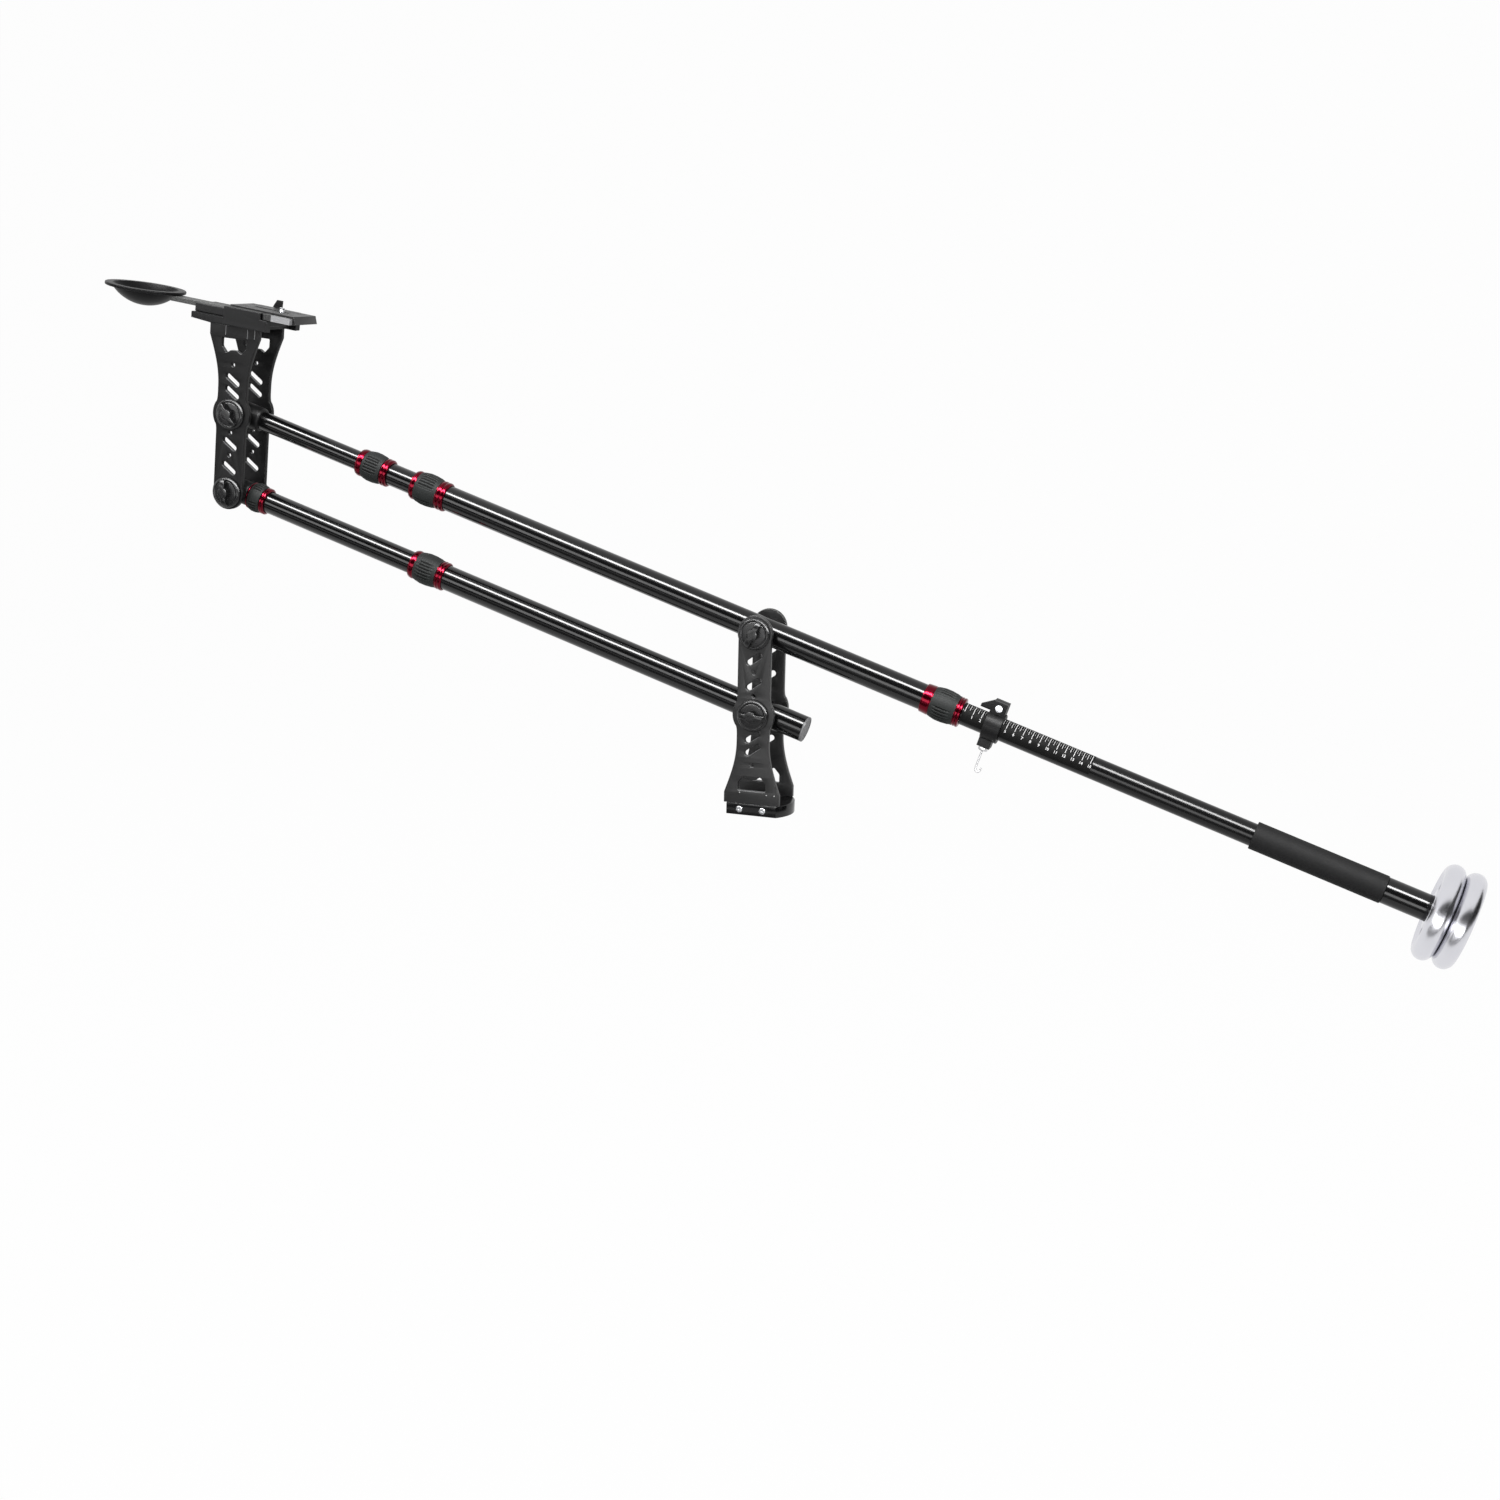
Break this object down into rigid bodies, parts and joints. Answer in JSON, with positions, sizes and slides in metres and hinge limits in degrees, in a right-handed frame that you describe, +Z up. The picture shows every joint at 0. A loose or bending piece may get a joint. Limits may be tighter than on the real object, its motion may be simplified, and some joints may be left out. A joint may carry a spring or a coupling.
{
  "type": "camera jib crane",
  "caption": "Balanced camera crane: parallel telescopic arms on a panning base, levelled camera head with a quick release plate at one end, disc counterweights on a scaled bar at the other.",
  "frame": {"origin": "middle of the threaded hole in the underside of the pan bush, where a tripod holds the crane", "axes": "+Z up, +X from the pivot towards the counterweights, +Y away from the knobs"},
  "size_m": [1.6497, 0.109, 0.676],
  "materials": {
    "plate_black": "satin black anodised",
    "tube_black": "gloss black anodised",
    "red_anodised": "gloss red anodised",
    "rubber": "ribbed, satin",
    "foam": "matt foam",
    "knob_black": "semi gloss",
    "steel": "bright zinc",
    "silver": "machined",
    "chrome": "polished, cast faces inside the rim",
    "grey_plug": "satin"
  },
  "bodies": {
    "tripod": {"pan_bush": "steel", "pan_nut": "silver"},
    "base": {"base_block": "tube_black", "base_plate_front": "plate_black", "base_plate_back": "plate_black", "base_cross_bolt_1": "steel", "base_cross_bolt_2": "steel", "base_upper_bolt": "steel", "base_lower_bolt": "steel"},
    "base_upper_knob": {"base_upper_knob": "knob_black"},
    "base_lower_knob": {"base_lower_knob": "knob_black"},
    "head_upper_knob": {"head_upper_knob": "knob_black"},
    "head_lower_knob": {"head_lower_knob": "knob_black"},
    "upper_arm": {"upper_main_tube": "tube_black", "base_upper_sleeve": "steel"},
    "upper_mid": {"upper_mid_tube": "tube_black"},
    "upper_thin": {"upper_thin_tube": "tube_black", "upper_head_eye": "plate_black", "head_upper_sleeve": "steel"},
    "lower_arm": {"lower_main_tube": "tube_black", "base_lower_sleeve": "steel", "lower_end_plug": "grey_plug"},
    "lower_mid": {"lower_mid_tube": "tube_black"},
    "lower_thin": {"lower_thin_tube": "tube_black", "lower_head_eye": "plate_black"},
    "upper_front_lock": {"upper_front_lock_collar": "red_anodised", "upper_front_lock_grip": "rubber"},
    "upper_rear_lock": {"upper_rear_lock_collar": "red_anodised", "upper_rear_lock_grip": "rubber"},
    "tail_lock": {"tail_lock_collar": "red_anodised", "tail_lock_grip": "rubber"},
    "lower_rear_lock": {"lower_rear_lock_collar": "red_anodised", "lower_rear_lock_grip": "rubber"},
    "lower_front_lock": {"lower_front_lock_collar": "red_anodised", "lower_front_lock_grip": "rubber"},
    "head": {"head_plate_front": "plate_black", "head_plate_back": "plate_black", "head_block": "silver", "head_cross_pin_1": "steel", "head_cross_pin_2": "steel", "head_upper_bolt": "steel", "head_lower_bolt": "steel", "head_lower_sleeve": "steel", "clamp_body": "plate_black", "front_block": "plate_black", "bowl_bar": "silver", "front_bowl": "plate_black"},
    "slide_plate": {"slide_plate": "plate_black"},
    "camera_screw": {"camera_screw": "steel"},
    "clamp_lever": {"clamp_lever": "silver"},
    "safety_catch": {"safety_catch": "plate_black"},
    "ruler": {"ruler_tube": "tube_black", "weight_sleeve": "tube_black", "foam_grip": "foam"},
    "scale_collar": {"scale_collar": "plate_black"},
    "collar_screw": {"collar_screw": "steel"},
    "collar_hook": {"collar_hook": "silver"},
    "weight_inner": {"weight_inner": "chrome"},
    "weight_outer": {"weight_outer": "chrome"},
    "tail_cap": {"tail_cap": "knob_black"}
  },
  "joints": [
    {"name": "base_pan", "type": "hinge", "parent": "tripod", "child": "base", "pos_m": [0, 0, 0], "axis": [0, 0, 1], "continuous": true},
    {"name": "arm_tilt", "type": "hinge", "parent": "base", "child": "upper_arm", "pos_m": [0, 0, 0.2128], "axis": [0, 1, 0], "range_deg": [-45, 30]},
    {"name": "lower_arm_tilt", "type": "hinge", "parent": "base", "child": "lower_arm", "pos_m": [0, 0, 0.1185], "axis": [0, 1, 0], "range_deg": [-44.55, 29.7]},
    {"name": "upper_mid_slide", "type": "slide", "parent": "upper_arm", "child": "upper_mid", "axis": [-0.9511, 0, 0.309], "range_m": [-0.03, 0.2]},
    {"name": "lower_mid_slide", "type": "slide", "parent": "lower_arm", "child": "lower_mid", "axis": [-0.952, 0, 0.3061], "range_m": [-0.03, 0.2]},
    {"name": "upper_thin_slide", "type": "slide", "parent": "upper_mid", "child": "upper_thin", "axis": [-0.9511, 0, 0.309], "range_m": [0, 0.15]},
    {"name": "lower_thin_slide", "type": "slide", "parent": "lower_mid", "child": "lower_thin", "axis": [-0.952, 0, 0.3061], "range_m": [0, 0.15]},
    {"name": "head_level", "type": "hinge", "parent": "upper_thin", "child": "head", "pos_m": [-0.66574, 0, 0.42911], "axis": [0, 1, 0], "range_deg": [-30, 45]},
    {"name": "base_upper_knob_turn", "type": "hinge", "parent": "base", "child": "base_upper_knob", "pos_m": [0, 0, 0.2128], "axis": [0, -1, 0], "range_deg": [0, 180]},
    {"name": "base_lower_knob_turn", "type": "hinge", "parent": "base", "child": "base_lower_knob", "pos_m": [0, 0, 0.1185], "axis": [0, -1, 0], "range_deg": [0, 180]},
    {"name": "head_upper_knob_turn", "type": "hinge", "parent": "head", "child": "head_upper_knob", "pos_m": [-0.66574, 0, 0.42911], "axis": [0, -1, 0], "range_deg": [0, 180]},
    {"name": "head_lower_knob_turn", "type": "hinge", "parent": "head", "child": "head_lower_knob", "pos_m": [-0.67396, 0, 0.33517], "axis": [0, -1, 0], "range_deg": [0, 180]},
    {"name": "upper_front_lock_turn", "type": "hinge", "parent": "upper_mid", "child": "upper_front_lock", "pos_m": [-0.48694, 0, 0.37102], "axis": [0.9511, 0, -0.309], "range_deg": [0, 90]},
    {"name": "upper_rear_lock_turn", "type": "hinge", "parent": "upper_arm", "child": "upper_rear_lock", "pos_m": [-0.41846, 0, 0.34877], "axis": [0.9511, 0, -0.309], "range_deg": [0, 90]},
    {"name": "tail_lock_turn", "type": "hinge", "parent": "upper_arm", "child": "tail_lock", "pos_m": [0.21113, 0, 0.1442], "axis": [-0.9511, 0, 0.309], "range_deg": [0, 90]},
    {"name": "lower_rear_lock_turn", "type": "hinge", "parent": "lower_arm", "child": "lower_rear_lock", "pos_m": [-0.42079, 0, 0.25378], "axis": [0.952, 0, -0.3061], "range_deg": [0, 90]},
    {"name": "lower_front_lock_turn", "type": "hinge", "parent": "lower_mid", "child": "lower_front_lock", "pos_m": [-0.64356, 0, 0.3254], "axis": [0.952, 0, -0.3061], "range_deg": [0, 90]},
    {"name": "plate_slide", "type": "slide", "parent": "head", "child": "slide_plate", "axis": [0.989, 0, -0.1478], "range_m": [0, 0.04]},
    {"name": "camera_screw_turn", "type": "hinge", "parent": "slide_plate", "child": "camera_screw", "pos_m": [-0.61071, 0, 0.54575], "axis": [0.1478, 0, 0.989], "continuous": true},
    {"name": "clamp_lever_swing", "type": "hinge", "parent": "head", "child": "clamp_lever", "pos_m": [-0.61086, -0.035, 0.54476], "axis": [0.1478, 0, 0.989], "range_deg": [-90, 0]},
    {"name": "safety_catch_turn", "type": "hinge", "parent": "head", "child": "safety_catch", "pos_m": [-0.63492, 0.0332, 0.55291], "axis": [0.1478, 0, 0.989], "range_deg": [0, 90]},
    {"name": "ruler_slide", "type": "slide", "parent": "upper_arm", "child": "ruler", "axis": [0.9511, 0, -0.309], "range_m": [-0.006, 0.075]},
    {"name": "collar_slide", "type": "slide", "parent": "ruler", "child": "scale_collar", "axis": [0.9511, 0, -0.309], "range_m": [-0.006, 0.29]},
    {"name": "collar_screw_turn", "type": "hinge", "parent": "scale_collar", "child": "collar_screw", "pos_m": [0.27931, 0, 0.1466], "axis": [0, 1, 0], "continuous": true},
    {"name": "hook_swivel", "type": "hinge", "parent": "scale_collar", "child": "collar_hook", "pos_m": [0.26135, 0, 0.09844], "axis": [0.309, 0, 0.9511], "continuous": true},
    {"name": "weight_inner_slide", "type": "slide", "parent": "ruler", "child": "weight_inner", "axis": [0.9511, 0, -0.309], "range_m": [-0.045, 0]},
    {"name": "weight_outer_slide", "type": "slide", "parent": "ruler", "child": "weight_outer", "axis": [0.9511, 0, -0.309], "range_m": [-0.045, 0]},
    {"name": "tail_cap_turn", "type": "hinge", "parent": "ruler", "child": "tail_cap", "pos_m": [0.79204, 0, -0.04455], "axis": [0.9511, 0, -0.309], "continuous": true}
  ],
  "couplings": [
    {"joint": "lower_arm_tilt", "follows": "arm_tilt", "ratio": 0.99},
    {"joint": "head_level", "follows": "arm_tilt", "ratio": -1},
    {"joint": "lower_mid_slide", "follows": "upper_mid_slide", "ratio": 1},
    {"joint": "lower_thin_slide", "follows": "upper_thin_slide", "ratio": 1},
    {"joint": "weight_outer_slide", "follows": "weight_inner_slide", "ratio": 1}
  ]
}
